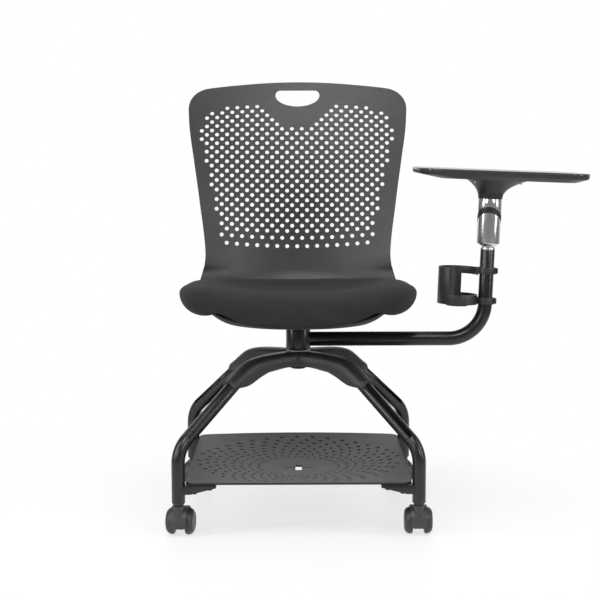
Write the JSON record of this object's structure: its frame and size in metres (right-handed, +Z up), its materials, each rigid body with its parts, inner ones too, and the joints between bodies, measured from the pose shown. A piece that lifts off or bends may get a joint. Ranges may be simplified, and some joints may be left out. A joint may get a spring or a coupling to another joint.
{
  "type": "student desk chair",
  "caption": "Swivelling student chair on casters with a perforated shell back, padded seat, storage shelf, and a swinging arm that carries a cup holder and writing tablet.",
  "frame": {"origin": "on the floor, on the axis of the seat's spindle", "axes": "+Z up, -Y towards the front of the chair, +X to the right as seen from the front"},
  "size_m": [0.7981, 0.49, 0.8488],
  "materials": {
    "black_steel": "satin powder coat",
    "shelf_steel": "satin powder coat",
    "chrome": "polished",
    "bare_steel": "zinc plated",
    "shell_plastic": "fine texture",
    "seat_fabric": "woven",
    "cover_plastic": "fine texture",
    "bearing_plastic": "natural",
    "tablet_plastic": "satin",
    "caster_plastic": "moulded",
    "wheel_nylon": "moulded"
  },
  "bodies": {
    "base": {"hub_core": "black_steel", "hub_bush_lower": "bearing_plastic", "hub_bush_upper": "bearing_plastic", "hub_cover_front": "cover_plastic", "hub_cover_rear": "cover_plastic", "leg_front_left": "black_steel", "leg_front_right": "black_steel", "leg_rear_left": "black_steel", "leg_rear_right": "black_steel", "shelf": "shelf_steel", "shelf_bracket_fl": "black_steel", "shelf_bracket_fr": "black_steel", "shelf_bracket_rl": "black_steel", "shelf_bracket_rr": "black_steel", "shelf_screws": "black_steel", "caster_sockets": "cover_plastic"},
    "seat": {"spindle": "bare_steel", "spindle_cap": "black_steel", "seat_plate": "black_steel", "seat_shell": "shell_plastic", "seat_cushion": "seat_fabric", "seat_screws": "bare_steel"},
    "arm": {"arm_collar": "black_steel", "collar_bush": "bearing_plastic", "arm_tube": "black_steel", "mast_post": "bare_steel", "mast_ring": "chrome", "cup_holder": "cover_plastic", "cup_holder_screws": "black_steel"},
    "tablet": {"tablet_sleeve": "chrome", "sleeve_bush_lower": "bearing_plastic", "sleeve_bush_upper": "bearing_plastic", "sleeve_band": "cover_plastic", "tablet_bracket": "tablet_plastic", "tablet_tray": "tablet_plastic", "tablet_top": "tablet_plastic", "tablet_screws": "bare_steel"},
    "caster_fl": {"caster_fl_hood": "caster_plastic", "caster_fl_stem": "bare_steel", "caster_fl_axle": "bare_steel"},
    "caster_fl_wheel_l": {"caster_fl_wheel_l": "wheel_nylon"},
    "caster_fl_wheel_r": {"caster_fl_wheel_r": "wheel_nylon"},
    "caster_fr": {"caster_fr_hood": "caster_plastic", "caster_fr_stem": "bare_steel", "caster_fr_axle": "bare_steel"},
    "caster_fr_wheel_l": {"caster_fr_wheel_l": "wheel_nylon"},
    "caster_fr_wheel_r": {"caster_fr_wheel_r": "wheel_nylon"},
    "caster_rl": {"caster_rl_hood": "caster_plastic", "caster_rl_stem": "bare_steel", "caster_rl_axle": "bare_steel"},
    "caster_rl_wheel_l": {"caster_rl_wheel_l": "wheel_nylon"},
    "caster_rl_wheel_r": {"caster_rl_wheel_r": "wheel_nylon"},
    "caster_rr": {"caster_rr_hood": "caster_plastic", "caster_rr_stem": "bare_steel", "caster_rr_axle": "bare_steel"},
    "caster_rr_wheel_l": {"caster_rr_wheel_l": "wheel_nylon"},
    "caster_rr_wheel_r": {"caster_rr_wheel_r": "wheel_nylon"}
  },
  "joints": [
    {"name": "seat_swivel", "type": "hinge", "parent": "base", "child": "seat", "pos_m": [0, 0, 0.3], "axis": [0, 0, 1], "continuous": true},
    {"name": "arm_swivel", "type": "hinge", "parent": "seat", "child": "arm", "pos_m": [0, 0, 0.341], "axis": [0, 0, 1], "range_deg": [-180, 0]},
    {"name": "tablet_swivel", "type": "hinge", "parent": "arm", "child": "tablet", "pos_m": [0.3635, 0, 0.341], "axis": [0.0401, 0, 0.9992], "range_deg": [-90, 90]},
    {"name": "caster_fl_swivel", "type": "hinge", "parent": "base", "child": "caster_fl", "pos_m": [-0.222, -0.208, 0.06], "axis": [0, 0, 1], "continuous": true},
    {"name": "caster_fl_wheel_l_spin", "type": "hinge", "parent": "caster_fl", "child": "caster_fl_wheel_l", "pos_m": [-0.21949, -0.19018, 0.025], "axis": [-0.9903, 0.1392, 0], "continuous": true},
    {"name": "caster_fl_wheel_r_spin", "type": "hinge", "parent": "caster_fl", "child": "caster_fl_wheel_r", "pos_m": [-0.21949, -0.19018, 0.025], "axis": [-0.9903, 0.1392, 0], "continuous": true},
    {"name": "caster_fr_swivel", "type": "hinge", "parent": "base", "child": "caster_fr", "pos_m": [0.222, -0.208, 0.06], "axis": [0, 0, 1], "continuous": true},
    {"name": "caster_fr_wheel_l_spin", "type": "hinge", "parent": "caster_fr", "child": "caster_fr_wheel_l", "pos_m": [0.222, -0.19, 0.025], "axis": [-1, 0, 0], "continuous": true},
    {"name": "caster_fr_wheel_r_spin", "type": "hinge", "parent": "caster_fr", "child": "caster_fr_wheel_r", "pos_m": [0.222, -0.19, 0.025], "axis": [-1, 0, 0], "continuous": true},
    {"name": "caster_rl_swivel", "type": "hinge", "parent": "base", "child": "caster_rl", "pos_m": [-0.222, 0.208, 0.06], "axis": [0, 0, 1], "continuous": true},
    {"name": "caster_rl_wheel_l_spin", "type": "hinge", "parent": "caster_rl", "child": "caster_rl_wheel_l", "pos_m": [-0.21765, 0.22546, 0.025], "axis": [-0.9703, 0.2419, 0], "continuous": true},
    {"name": "caster_rl_wheel_r_spin", "type": "hinge", "parent": "caster_rl", "child": "caster_rl_wheel_r", "pos_m": [-0.21765, 0.22546, 0.025], "axis": [-0.9703, 0.2419, 0], "continuous": true},
    {"name": "caster_rr_swivel", "type": "hinge", "parent": "base", "child": "caster_rr", "pos_m": [0.222, 0.208, 0.06], "axis": [0, 0, 1], "continuous": true},
    {"name": "caster_rr_wheel_l_spin", "type": "hinge", "parent": "caster_rr", "child": "caster_rr_wheel_l", "pos_m": [0.21526, 0.22469, 0.025], "axis": [-0.9272, -0.3746, 0], "continuous": true},
    {"name": "caster_rr_wheel_r_spin", "type": "hinge", "parent": "caster_rr", "child": "caster_rr_wheel_r", "pos_m": [0.21526, 0.22469, 0.025], "axis": [-0.9272, -0.3746, 0], "continuous": true}
  ]
}
